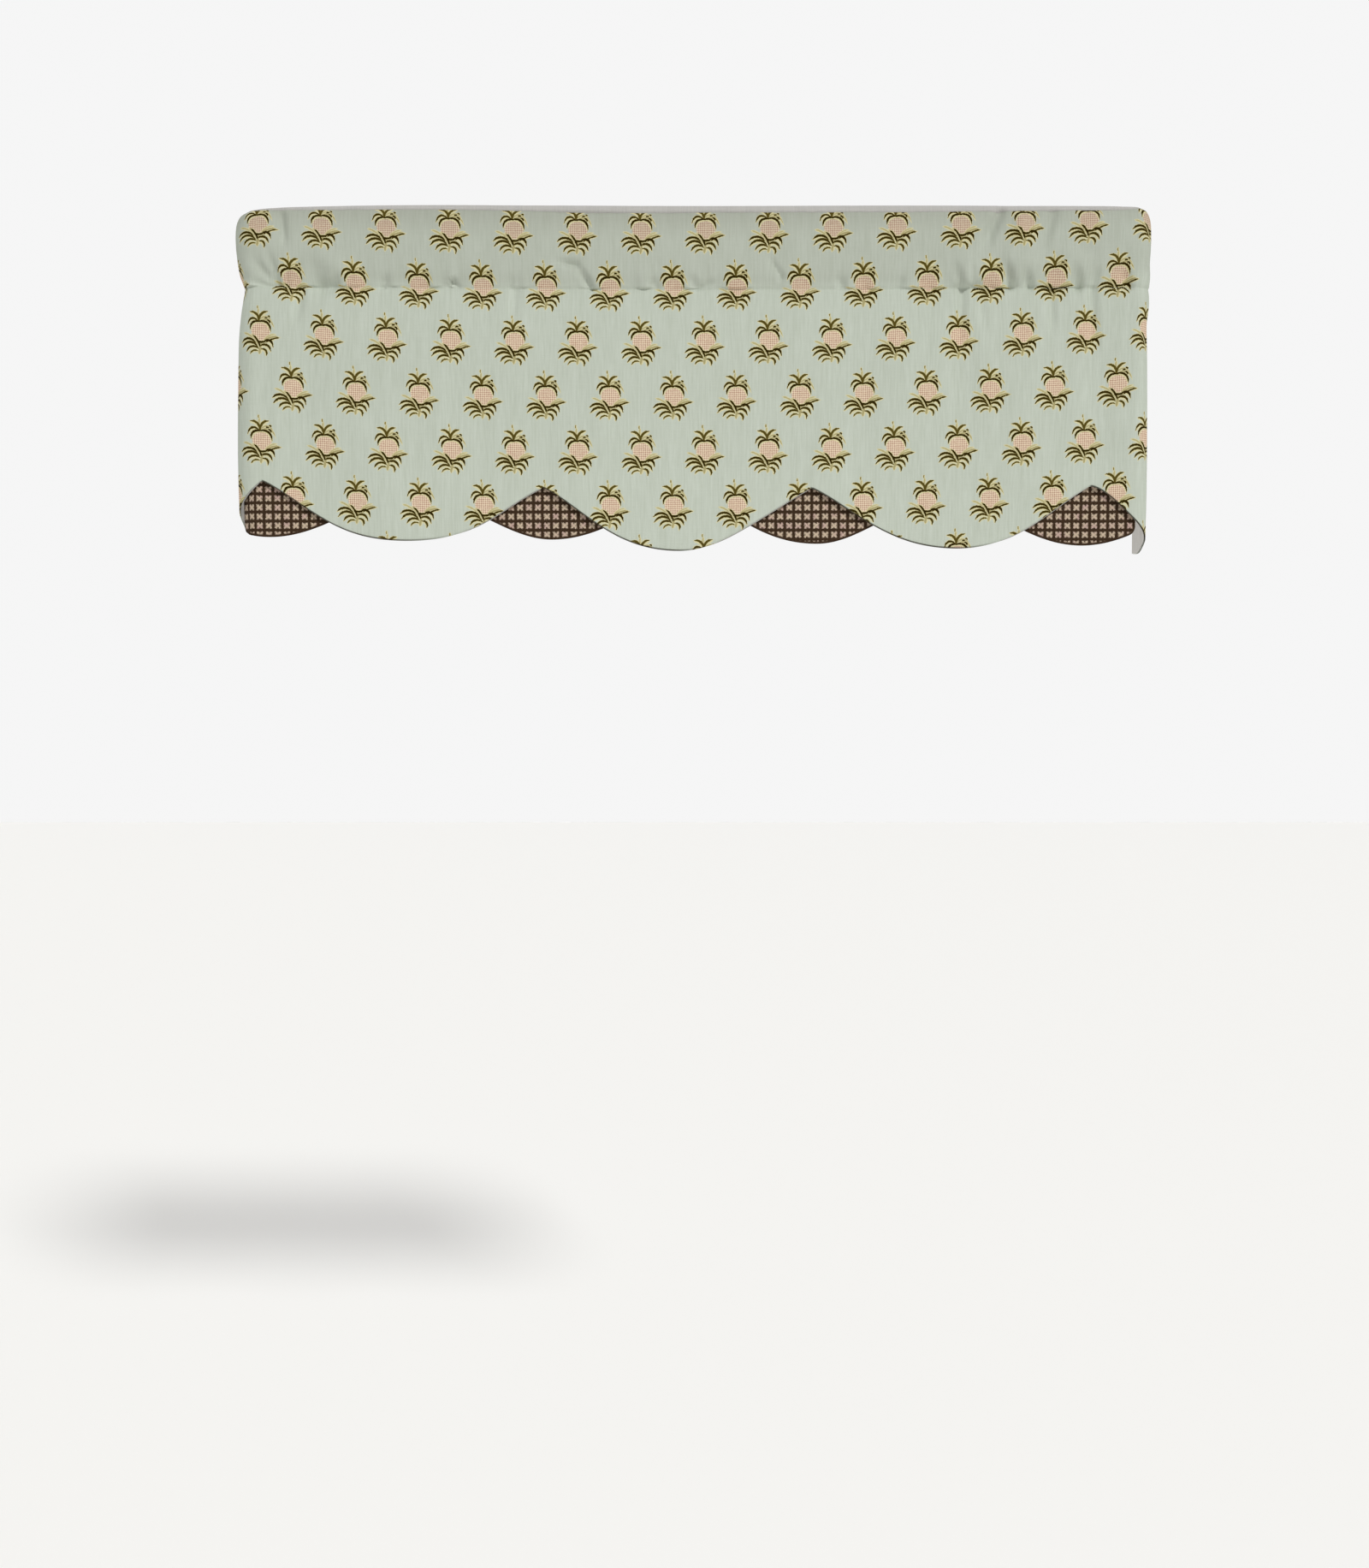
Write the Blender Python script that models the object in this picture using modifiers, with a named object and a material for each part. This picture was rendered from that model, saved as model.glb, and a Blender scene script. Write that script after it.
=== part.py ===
"""Window valance in its hanging shape: a printed face, its cream lining and a checked underlay.

Metres, +Z up. X runs along the valance, the front looks towards -Y and the two returns run back to +Y.
The origin is the middle of the rod pocket's top, midway between the pocket's two walls.

Every cloth is laid out flat first. s runs along the valance from its middle and follows the front, the
corner and the return. A drop is a depth under the pocket's top. An out is a distance outwards from the
plane of the front, or from the plane of a return once s has passed a corner.
"""

import math
from collections import namedtuple

import bmesh
import bpy

FRONT_WIDTH = 1.176  # outside one return to outside the other
RETURN_DEPTH = 0.076  # plane of the front to the back edge of a return
CORNER_RADIUS = 0.024  # plan radius of a corner, at the face
FRONT_Y = -0.008  # plane of the front: the pocket's middle is 8 mm behind it
POCKET_DEPTH = 0.1035  # top of the pocket to its row of stitches, as its section is drawn

CLOTH = 0.0012  # thickness of each sheet
SEAM_GAP = 0.0010  # between the face and the lining, edge to edge along their top seam
LAYER_STEP = 0.0016  # middle of one sheet to the middle of the sheet behind it
LINING_SHORTER = 0.0008  # the lining stops this far above the face's hem
UNDERLAY_TOP = 0.0035  # the underlay starts this far under the row of stitches
UNDERLAY_BEHIND = 0.0035  # middle of the face to the middle of the underlay, at the stitches
UNDERLAY_SWING = 0.0012  # how much further back the underlay hangs from its middle down

UNDERLAY_LEFT = -0.600
UNDERLAY_RIGHT = 0.574
UNDERLAY_LEFT_ROUNDING = 0.014
UNDERLAY_RIGHT_ROUNDING = 0.008

HALF_STRAIGHT = FRONT_WIDTH / 2 - CORNER_RADIUS
CORNER_ARC = CORNER_RADIUS * math.pi / 2
CORNER_END = HALF_STRAIGHT + CORNER_ARC
HALF_FLAT = CORNER_END + RETURN_DEPTH - CORNER_RADIUS

SectionPoint = namedtuple("SectionPoint", "out drop")
LinePoint = namedtuple("LinePoint", "s drop")
HemPoint = namedtuple("HemPoint", "s drop sharpness belly")
Fold = namedtuple("Fold", "s half_width out top bottom")
Spread = namedtuple("Spread", "from_s to_s out drop half_height")

# The pocket's section, from the stitches up the front wall, over the top and down the back wall.
POCKET_SECTION = [
    SectionPoint(-0.0068, 0.1035),
    SectionPoint(-0.0052, 0.0980),
    SectionPoint(-0.0012, 0.0840),
    SectionPoint(0.0010, 0.0620),
    SectionPoint(0.0014, 0.0340),
    SectionPoint(0.0000, 0.0150),
    SectionPoint(-0.0034, 0.0050),
    SectionPoint(-0.0084, 0.0004),
    SectionPoint(-0.0130, 0.0032),
    SectionPoint(-0.0160, 0.0120),
    SectionPoint(-0.0170, 0.0320),
    SectionPoint(-0.0166, 0.0600),
    SectionPoint(-0.0148, 0.0840),
    SectionPoint(-0.0102, 0.0980),
    SectionPoint(-0.0084, 0.1035),
]
TOP_POINT = 7  # the highest of the points above

# How far out the face hangs below the stitches, by its depth under them.
HANGING_SECTION = [
    SectionPoint(-0.0068, 0.000),
    SectionPoint(-0.0054, 0.008),
    SectionPoint(-0.0028, 0.032),
    SectionPoint(-0.0008, 0.085),
    SectionPoint(0.0002, 0.180),
    SectionPoint(0.0008, 0.335),
]

# The top edge slumps at the left corner and wavers by a millimetre along the front.
TOP_LINE = [
    LinePoint(-0.654, 0.0095),
    LinePoint(-0.602, 0.0085),
    LinePoint(-0.580, 0.0065),
    LinePoint(-0.564, 0.0035),
    LinePoint(-0.545, 0.0010),
    LinePoint(-0.500, -0.0012),
    LinePoint(-0.330, -0.0034),
    LinePoint(-0.040, -0.0022),
    LinePoint(0.290, -0.0027),
    LinePoint(0.520, -0.0020),
    LinePoint(0.564, -0.0010),
    LinePoint(0.602, 0.0012),
    LinePoint(0.654, 0.0025),
]

# The lining rolls over the top and shows above the face: this is the height of the strip that shows.
STRIP_LINE = [
    LinePoint(-0.654, 0.0000),
    LinePoint(-0.585, 0.0000),
    LinePoint(-0.545, 0.0036),
    LinePoint(-0.490, 0.0062),
    LinePoint(-0.300, 0.0080),
    LinePoint(-0.070, 0.0104),
    LinePoint(0.050, 0.0095),
    LinePoint(0.280, 0.0102),
    LinePoint(0.480, 0.0078),
    LinePoint(0.550, 0.0060),
    LinePoint(0.588, 0.0000),
    LinePoint(0.654, 0.0000),
]

# The row of stitches under the pocket sags by 3 mm in the middle.
STITCH_LINE = [
    LinePoint(-0.654, 0.0994),
    LinePoint(-0.500, 0.0999),
    LinePoint(0.000, 0.1031),
    LinePoint(0.500, 0.1010),
    LinePoint(0.654, 0.1008),
]

# Peaks and lowest points of the scalloped hems, from left to right. Sharpness and belly shape the edge
# from that point to the next one: a larger sharpness narrows the peak, a larger belly fills the slope.
FACE_HEM = [
    HemPoint(-0.6540, 0.4080, 1.15, 0.000),
    HemPoint(-0.6438, 0.4089, 1.15, 0.000),
    HemPoint(-0.5558, 0.3469, 1.15, 0.065),
    HemPoint(-0.3703, 0.4234, 1.15, 0.070),
    HemPoint(-0.1933, 0.3556, 1.15, 0.045),
    HemPoint(-0.0178, 0.4363, 1.15, -0.040),
    HemPoint(0.1517, 0.3564, 1.15, 0.040),
    HemPoint(0.3402, 0.4332, 1.15, 0.035),
    HemPoint(0.5114, 0.3536, 1.65, 0.000),
    HemPoint(0.6330, 0.4345, 1.15, 0.000),
    HemPoint(0.6540, 0.4330, 1.15, 0.000),
]
UNDERLAY_HEM = [
    HemPoint(-0.7170, 0.3460, 1.15, 0.000),
    HemPoint(-0.5470, 0.4179, 1.15, -0.030),
    HemPoint(-0.3650, 0.3470, 1.15, -0.080),
    HemPoint(-0.1825, 0.4212, 1.15, 0.000),
    HemPoint(-0.0110, 0.3500, 1.15, 0.030),
    HemPoint(0.1600, 0.4266, 1.15, -0.080),
    HemPoint(0.3310, 0.3540, 1.15, 0.000),
    HemPoint(0.5026, 0.4288, 1.15, 0.000),
    HemPoint(0.6735, 0.3550, 1.15, 0.000),
]

# Soft creases that pinch the pocket, and the wide shallow folds of the hanging cloth.
POCKET_FOLDS = [
    Fold(-0.560, 0.026, -0.0016, 0.046, 0.101),
    Fold(-0.490, 0.024, -0.0016, 0.040, 0.101),
    Fold(-0.300, 0.040, 0.0010, 0.020, 0.101),
    Fold(-0.150, 0.026, -0.0014, 0.050, 0.101),
    Fold(-0.020, 0.040, 0.0010, 0.030, 0.101),
    Fold(0.108, 0.026, -0.0014, 0.030, 0.101),
    Fold(0.235, 0.040, 0.0010, 0.010, 0.101),
    Fold(0.382, 0.028, -0.0016, 0.006, 0.101),
    Fold(0.500, 0.026, -0.0014, 0.020, 0.101),
]
HANGING_FOLDS = [
    Fold(-0.590, 0.050, 0.0014, 0.125, 0.440),
    Fold(-0.500, 0.045, -0.0022, 0.115, 0.440),
    Fold(-0.405, 0.055, 0.0016, 0.130, 0.480),
    Fold(-0.280, 0.060, -0.0018, 0.150, 0.480),
    Fold(-0.130, 0.070, 0.0020, 0.130, 0.480),
    Fold(0.030, 0.065, -0.0018, 0.140, 0.480),
    Fold(0.170, 0.050, 0.0014, 0.150, 0.480),
    Fold(0.262, 0.045, 0.0014, 0.115, 0.360),
    Fold(0.345, 0.030, -0.0028, 0.108, 0.300),
    Fold(0.430, 0.050, 0.0020, 0.115, 0.480),
    Fold(0.520, 0.034, -0.0026, 0.108, 0.420),
    Fold(0.600, 0.045, 0.0010, 0.200, 0.480),
]

# Where the cloths stand further in or out near the ends: drawn in at the left return's stitches, out
# again below them, out at the right corner's stitches and at the right return's hem.
SPREADS = [
    Spread(-0.540, -0.602, -0.0030, 0.100, 0.070),
    Spread(-0.540, -0.602, 0.0014, 0.330, 0.230),
    Spread(0.535, 0.600, 0.0060, 0.107, 0.044),
    Spread(0.595, 0.650, 0.0025, 0.450, 0.300),
]

# Columns of the flat layout: the peaks and lowest points of the hem lie on them.
Stretch = namedtuple("Stretch", "to_s columns")
COLUMNS = [
    Stretch(-CORNER_END, 5),
    Stretch(FACE_HEM[2].s, 6),
    Stretch(FACE_HEM[3].s, 12),
    Stretch(FACE_HEM[4].s, 12),
    Stretch(FACE_HEM[5].s, 12),
    Stretch(FACE_HEM[6].s, 12),
    Stretch(FACE_HEM[7].s, 12),
    Stretch(FACE_HEM[8].s, 12),
    Stretch(HALF_STRAIGHT, 4),
    Stretch(CORNER_END, 6),
    Stretch(HALF_FLAT, 5),
]

# Rows of the flat layout, as shares of the cloth's length between the top seam and the stitches, and
# between the stitches and the hem.
FRONT_WALL_ROWS = [0, 0.06, 0.15, 0.30, 0.48, 0.66, 0.83, 1]
BACK_WALL_ROWS = [0, 0.035, 0.08, 0.13, 0.19, 0.28, 0.45, 0.65, 0.84, 1]
HANGING_ROWS = [0, 0.05, 0.14, 0.28, 0.46, 0.66, 0.84, 1]
UNDERLAY_ROWS = [0, 0.12, 0.30, 0.50, 0.70, 0.87, 1]


def smooth_step(x, start, end):
    """0 before start, 1 after end, and a soft ramp between them. end may lie before start."""
    share = min(max((x - start) / (end - start), 0), 1)
    return share * share * (3 - 2 * share)


def soft_bump(x, centre, half_width):
    """1 at the centre, falling softly to 0 at half_width on either side."""
    share = min(abs(x - centre) / half_width, 1)
    return math.cos(share * math.pi / 2) ** 2


def smooth_curve(knots, values):
    """A function that runs smoothly through every (knot, value)."""
    last = len(knots) - 1

    def slope(i):
        low, high = max(i - 1, 0), min(i + 1, last)
        return (values[high] - values[low]) / (knots[high] - knots[low])

    def curve(x):
        x = min(max(x, knots[0]), knots[last])
        i = max(k for k in range(last) if knots[k] <= x)
        span = knots[i + 1] - knots[i]
        t = (x - knots[i]) / span
        at_ends = values[i] * (1 + 2 * t) * (1 - t) ** 2 + values[i + 1] * t * t * (3 - 2 * t)
        return at_ends + span * (slope(i) * t * (1 - t) ** 2 - slope(i + 1) * t * t * (1 - t))

    return curve


def line_curve(table):
    return smooth_curve([point.s for point in table], [point.drop for point in table])


def lengths_along(table):
    """Distance along a section's outline to each of its points."""
    lengths = [0.0]
    for before, after in zip(table, table[1:]):
        lengths.append(lengths[-1] + math.hypot(after.out - before.out, after.drop - before.drop))
    return lengths


top_line = line_curve(TOP_LINE)
strip_line = line_curve(STRIP_LINE)
stitch_line = line_curve(STITCH_LINE)

pocket_lengths = lengths_along(POCKET_SECTION)
pocket_out = smooth_curve(pocket_lengths, [point.out for point in POCKET_SECTION])
pocket_drop = smooth_curve(pocket_lengths, [point.drop for point in POCKET_SECTION])
hanging_out = smooth_curve(
    [point.drop for point in HANGING_SECTION], [point.out for point in HANGING_SECTION]
)


def plan_point(s, out):
    """x and y of the place s along the valance, moved outwards by out."""
    side = math.copysign(1, s)
    distance = abs(s)
    if distance <= HALF_STRAIGHT:
        return s, FRONT_Y - out
    angle = min(distance - HALF_STRAIGHT, CORNER_ARC) / CORNER_RADIUS
    radius = CORNER_RADIUS + out
    x = HALF_STRAIGHT + radius * math.sin(angle)
    y = FRONT_Y + CORNER_RADIUS - radius * math.cos(angle) + max(distance - CORNER_END, 0)
    return side * x, y


def hem_drop(table, s):
    """Depth of a scalloped hem at s: half a sine wave between each peak and the next lowest point."""
    i = max(k for k in range(len(table) - 1) if k == 0 or table[k].s <= s)
    left, right = table[i], table[i + 1]
    peak, low = (left, right) if left.drop < right.drop else (right, left)
    share = min(max((s - peak.s) / (low.s - peak.s), 0), 1)
    slope = math.sin(share * math.pi / 2) ** left.sharpness
    slope += left.belly * math.sin(share * math.pi) ** 2
    return peak.drop + (low.drop - peak.drop) * slope


def folds_at(folds, s, drop):
    """Outward move that the folds make at one place. Each one fades in and out over its height."""
    total = 0.0
    for fold in folds:
        reach = (fold.bottom - fold.top) / 2
        height = smooth_step(drop, fold.top, fold.top + reach)
        height *= smooth_step(drop, fold.bottom, fold.bottom - reach)
        total += fold.out * height * soft_bump(s, fold.s, fold.half_width)
    return total


def spreads_at(s, drop):
    return sum(
        spread.out
        * smooth_step(s, spread.from_s, spread.to_s)
        * soft_bump(drop, spread.drop, spread.half_height)
        for spread in SPREADS
    )


def pocket_point(s, length):
    """A place in the pocket's walls, by its length along the section from the front stitches."""
    section_drop = pocket_drop(length)
    top = top_line(s)
    drop = top + section_drop / POCKET_DEPTH * (stitch_line(s) - top)
    pinch = folds_at(POCKET_FOLDS, s, drop)
    if length > pocket_lengths[TOP_POINT]:
        pinch = -pinch
    x, y = plan_point(s, pocket_out(length) + pinch + spreads_at(s, drop))
    return x, y, -drop


def hanging_point(s, drop, behind):
    """A place in a cloth below the stitches, a given distance behind the face."""
    out = hanging_out(drop - stitch_line(s)) - behind
    out += folds_at(HANGING_FOLDS, s, drop) + spreads_at(s, drop)
    x, y = plan_point(s, out)
    return x, y, -drop


def seam_length(s):
    """Length along the pocket's section up to the top seam between the face and the lining."""
    top = pocket_lengths[TOP_POINT]
    low = top - 0.022
    wanted = strip_line(s)
    steps = 24
    for step in range(steps + 1):
        length = top - (top - low) * step / steps
        if pocket_drop(length) >= wanted:
            return length
    return low


def face_point(s, row):
    """Row 0 is the top seam, and the last row is the hem."""
    if row < len(FRONT_WALL_ROWS):
        top = seam_length(s) - SEAM_GAP / 2
        return pocket_point(s, top * (1 - FRONT_WALL_ROWS[row]))
    share = HANGING_ROWS[row - len(FRONT_WALL_ROWS) + 1]
    stitch = stitch_line(s)
    return hanging_point(s, stitch + share * (hem_drop(FACE_HEM, s) - stitch), 0)


def lining_point(s, row):
    """Row 0 is the top seam: from there the lining rolls over the top and down behind the pocket."""
    if row < len(BACK_WALL_ROWS):
        start = seam_length(s) + SEAM_GAP / 2
        return pocket_point(s, start + BACK_WALL_ROWS[row] * (pocket_lengths[-1] - start))
    share = HANGING_ROWS[row - len(BACK_WALL_ROWS) + 1]
    stitch = stitch_line(s)
    hem = hem_drop(FACE_HEM, s) - LINING_SHORTER
    return hanging_point(s, stitch + share * (hem - stitch), LAYER_STEP)


def underlay_hem(s):
    """The underlay's hem, rounded off at its two lower corners."""
    hem = hem_drop(UNDERLAY_HEM, s)
    for end, radius in (
        (UNDERLAY_LEFT, UNDERLAY_LEFT_ROUNDING),
        (UNDERLAY_RIGHT, UNDERLAY_RIGHT_ROUNDING),
    ):
        inside = min(abs(s - end) / radius, 1)
        hem -= radius * (1 - math.sqrt(1 - (1 - inside) ** 2))
    return hem


def underlay_point(s, row):
    """Row 0 is just under the stitches. The underlay swings a little behind the lining as it falls."""
    top = stitch_line(s) + UNDERLAY_TOP
    share = UNDERLAY_ROWS[row]
    behind = UNDERLAY_BEHIND + UNDERLAY_SWING * smooth_step(share, 0, 0.5)
    return hanging_point(s, top + share * (underlay_hem(s) - top), behind)


def column_places():
    places = [-HALF_FLAT]
    for stretch in COLUMNS:
        start = places[-1]
        width = (stretch.to_s - start) / stretch.columns
        places.extend(start + width * (i + 1) for i in range(stretch.columns))
    return places


def underlay_places(places):
    """The columns between the underlay's two ends, with closer ones where its corners are rounded."""
    left_round = [UNDERLAY_LEFT + UNDERLAY_LEFT_ROUNDING * share for share in (0, 0.1, 0.4, 1)]
    right_round = [UNDERLAY_RIGHT - UNDERLAY_RIGHT_ROUNDING * share for share in (1, 0.4, 0.1, 0)]
    clear = CORNER_ARC / 12
    between = [s for s in places if left_round[-1] + clear < s < right_round[0] - clear]
    return left_round + between + right_round


def make_material(name, colour, roughness):
    material = bpy.data.materials.new(name)
    material.use_nodes = True
    shader = material.node_tree.nodes["Principled BSDF"]
    shader.inputs["Base Color"].default_value = (*colour, 1)
    shader.inputs["Roughness"].default_value = roughness
    shader.inputs["Metallic"].default_value = 0
    return material


def make_sheet(name, places, rows, point_at, material, collection):
    """A flat grid of cloth, moved to where it hangs and given its thickness."""
    columns = len(places) - 1
    mesh_maker = bmesh.new()
    bmesh.ops.create_grid(mesh_maker, x_segments=columns, y_segments=rows, size=0.5)
    for vertex in mesh_maker.verts:
        column = round((vertex.co.x + 0.5) * columns)
        row = round((0.5 - vertex.co.y) * rows)
        vertex.co = point_at(places[column], row)
    mesh = bpy.data.meshes.new(name)
    mesh_maker.to_mesh(mesh)
    mesh_maker.free()
    mesh.materials.append(material)
    mesh.shade_smooth()
    sheet = bpy.data.objects.new(name, mesh)
    collection.objects.link(sheet)
    thickness = sheet.modifiers.new("cloth thickness", "SOLIDIFY")
    thickness.thickness = CLOTH
    thickness.offset = 0
    return sheet


def clear_scene():
    for item in list(bpy.data.objects):
        bpy.data.objects.remove(item, do_unlink=True)


def make_valance():
    collection = bpy.data.collections.new("window_valance")
    bpy.context.scene.collection.children.link(collection)
    places = column_places()
    make_sheet(
        "printed_face",
        places,
        len(FRONT_WALL_ROWS) + len(HANGING_ROWS) - 2,
        face_point,
        make_material("printed cotton", (0.50, 0.54, 0.43), 0.9),
        collection,
    )
    make_sheet(
        "cream_lining",
        places,
        len(BACK_WALL_ROWS) + len(HANGING_ROWS) - 2,
        lining_point,
        make_material("cream lining", (0.73, 0.70, 0.62), 0.9),
        collection,
    )
    make_sheet(
        "check_underlay",
        underlay_places(places),
        len(UNDERLAY_ROWS) - 1,
        underlay_point,
        make_material("brown check", (0.22, 0.15, 0.10), 0.95),
        collection,
    )


clear_scene()
make_valance()
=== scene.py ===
"""A lined window valance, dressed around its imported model.

Metres, +Z up. X runs along the valance, the printed front looks towards -Y and the returns run back to
+Y. Every cloth is laid out flat first: s runs along the valance from its middle and follows the front,
the corner and the return, a drop is a depth under the pocket's top, and an out is a distance outwards.
"""

import functools
import math
import random
from collections import namedtuple

import bmesh
import bpy
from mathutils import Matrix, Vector, noise


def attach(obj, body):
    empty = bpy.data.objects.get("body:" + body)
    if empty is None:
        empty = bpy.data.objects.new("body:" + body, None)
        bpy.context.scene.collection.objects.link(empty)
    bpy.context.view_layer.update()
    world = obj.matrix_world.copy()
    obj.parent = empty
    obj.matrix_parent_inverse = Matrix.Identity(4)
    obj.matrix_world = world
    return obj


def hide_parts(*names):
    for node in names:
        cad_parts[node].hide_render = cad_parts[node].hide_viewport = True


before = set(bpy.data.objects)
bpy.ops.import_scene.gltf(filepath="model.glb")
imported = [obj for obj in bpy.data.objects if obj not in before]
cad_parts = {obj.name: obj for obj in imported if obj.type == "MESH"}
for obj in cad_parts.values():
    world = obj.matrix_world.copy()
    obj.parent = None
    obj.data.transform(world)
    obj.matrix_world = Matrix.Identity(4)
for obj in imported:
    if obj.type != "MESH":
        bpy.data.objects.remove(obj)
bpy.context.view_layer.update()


# The printed face: one panel of cotton with a sprig print, sewn to the lining along the top. It is the
# front wall of the rod pocket, turns round both corners into the returns and ends in a scalloped hem,
# turned in at the edge. The row of stitches under the pocket draws it into puckers.

FRONT_WIDTH = 1.176  # outside one return to outside the other
RETURN_DEPTH = 0.076  # plane of the front to the back edge of a return
CORNER_RADIUS = 0.024  # plan radius of a corner, at the face
FRONT_Y = -0.008  # plane of the front
POCKET_DEPTH = 0.1035  # top of the pocket to its row of stitches, as its section is drawn
FACE_THICKNESS = 0.0010
GRID = 0.0036  # the cloth's mesh: fine enough for its creases

HALF_STRAIGHT = FRONT_WIDTH / 2 - CORNER_RADIUS
CORNER_ARC = CORNER_RADIUS * math.pi / 2
CORNER_END = HALF_STRAIGHT + CORNER_ARC
HALF_FLAT = CORNER_END + RETURN_DEPTH - CORNER_RADIUS

SectionPoint = namedtuple("SectionPoint", "out drop")
LinePoint = namedtuple("LinePoint", "s drop")
HemPoint = namedtuple("HemPoint", "s drop roundness belly")
Fold = namedtuple("Fold", "s half_width out top bottom")
Spread = namedtuple("Spread", "from_s to_s out drop half_height")
Crease = namedtuple("Crease", "from_s from_drop to_s to_drop half_width out")
Bag = namedtuple("Bag", "s half_width out lip")
Pucker = namedtuple("Pucker", "s half_width out above below lean")
Groove = namedtuple("Groove", "s half_width depth")
Ripple = namedtuple("Ripple", "width height layer out")


def rows_of(kind, rows):
    return tuple(kind(*row) for row in rows)


# The pocket's section, from the stitches up the front wall, over the top and down the back wall.
POCKET_SECTION = rows_of(SectionPoint, [
    (-0.0068, 0.1035),
    (-0.0052, 0.0980),
    (-0.0012, 0.0840),
    (0.0010, 0.0620),
    (0.0014, 0.0340),
    (0.0000, 0.0150),
    (-0.0034, 0.0050),
    (-0.0084, 0.0004),
    (-0.0130, 0.0032),
    (-0.0160, 0.0120),
    (-0.0170, 0.0320),
    (-0.0166, 0.0600),
    (-0.0148, 0.0840),
    (-0.0102, 0.0980),
    (-0.0084, 0.1035),
])
TOP_POINT = 7  # the highest of the points above

# How far out the face hangs below the stitches, by its depth under them.
HANGING_SECTION = rows_of(SectionPoint, [
    (-0.0068, 0.000),
    (-0.0054, 0.008),
    (-0.0028, 0.032),
    (-0.0008, 0.085),
    (0.0002, 0.180),
    (0.0008, 0.335),
])

# The top edge slumps at the left corner and wavers by a millimetre or two along the front.
TOP_LINE = rows_of(LinePoint, [
    (-0.654, 0.0095),
    (-0.602, 0.0085),
    (-0.580, 0.0065),
    (-0.564, 0.0035),
    (-0.545, 0.0010),
    (-0.500, -0.0012),
    (-0.330, -0.0034),
    (-0.040, -0.0022),
    (0.290, -0.0027),
    (0.520, -0.0020),
    (0.564, -0.0010),
    (0.602, 0.0012),
    (0.654, 0.0025),
])

# The lining rolls over the top and shows above the face: this is the height of the strip that shows.
STRIP_LINE = rows_of(LinePoint, [
    (-0.654, 0.0000),
    (-0.585, 0.0000),
    (-0.545, 0.0036),
    (-0.490, 0.0062),
    (-0.300, 0.0080),
    (-0.070, 0.0104),
    (0.050, 0.0095),
    (0.280, 0.0102),
    (0.480, 0.0078),
    (0.550, 0.0060),
    (0.588, 0.0000),
    (0.654, 0.0000),
])

# The row of stitches under the pocket sags by 3 mm in the middle.
STITCH_LINE = rows_of(LinePoint, [
    (-0.654, 0.0994),
    (-0.500, 0.0999),
    (0.000, 0.1031),
    (0.500, 0.1010),
    (0.654, 0.1008),
])

# Peaks and lowest points of the scalloped hem, from left to right. Roundness and belly shape the edge
# from that point to the next one: more roundness widens the peak, more belly makes the scallop fuller.
FACE_HEM = rows_of(HemPoint, [
    (-0.6540, 0.4080, 1.15, 0.000),
    (-0.6438, 0.4089, 1.15, 0.000),
    (-0.5558, 0.3469, 1.15, 0.065),
    (-0.3703, 0.4234, 1.15, 0.070),
    (-0.1933, 0.3556, 1.15, 0.045),
    (-0.0178, 0.4363, 1.15, -0.040),
    (0.1517, 0.3564, 1.15, 0.040),
    (0.3402, 0.4332, 1.15, 0.035),
    (0.5114, 0.3536, 1.65, 0.000),
    (0.6330, 0.4345, 1.15, 0.000),
    (0.6540, 0.4330, 1.15, 0.000),
])

# Soft creases that pinch the pocket, and the wide shallow folds of the hanging cloth.
POCKET_FOLDS = rows_of(Fold, [
    (-0.560, 0.026, -0.0016, 0.046, 0.101),
    (-0.490, 0.024, -0.0016, 0.040, 0.101),
    (-0.300, 0.040, 0.0010, 0.020, 0.101),
    (-0.150, 0.026, -0.0014, 0.050, 0.101),
    (-0.020, 0.040, 0.0010, 0.030, 0.101),
    (0.108, 0.026, -0.0014, 0.030, 0.101),
    (0.235, 0.040, 0.0010, 0.010, 0.101),
    (0.382, 0.028, -0.0016, 0.006, 0.101),
    (0.500, 0.026, -0.0014, 0.020, 0.101),
])
HANGING_FOLDS = rows_of(Fold, [
    (-0.590, 0.050, 0.0014, 0.125, 0.440),
    (-0.500, 0.045, -0.0022, 0.115, 0.440),
    (-0.405, 0.055, 0.0016, 0.130, 0.480),
    (-0.280, 0.060, -0.0018, 0.150, 0.480),
    (-0.130, 0.070, 0.0020, 0.130, 0.480),
    (0.030, 0.065, -0.0018, 0.140, 0.480),
    (0.170, 0.050, 0.0014, 0.150, 0.480),
    (0.262, 0.045, 0.0014, 0.115, 0.360),
    (0.345, 0.030, -0.0028, 0.108, 0.300),
    (0.430, 0.050, 0.0020, 0.115, 0.480),
    (0.520, 0.034, -0.0026, 0.108, 0.420),
    (0.600, 0.045, 0.0010, 0.200, 0.480),
])

# Where the cloths stand further in or out near the ends.
SPREADS = rows_of(Spread, [
    (-0.540, -0.602, -0.0030, 0.100, 0.070),
    (-0.540, -0.602, 0.0014, 0.330, 0.230),
    (0.535, 0.600, 0.0060, 0.107, 0.044),
    (0.595, 0.650, 0.0025, 0.450, 0.300),
])

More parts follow.
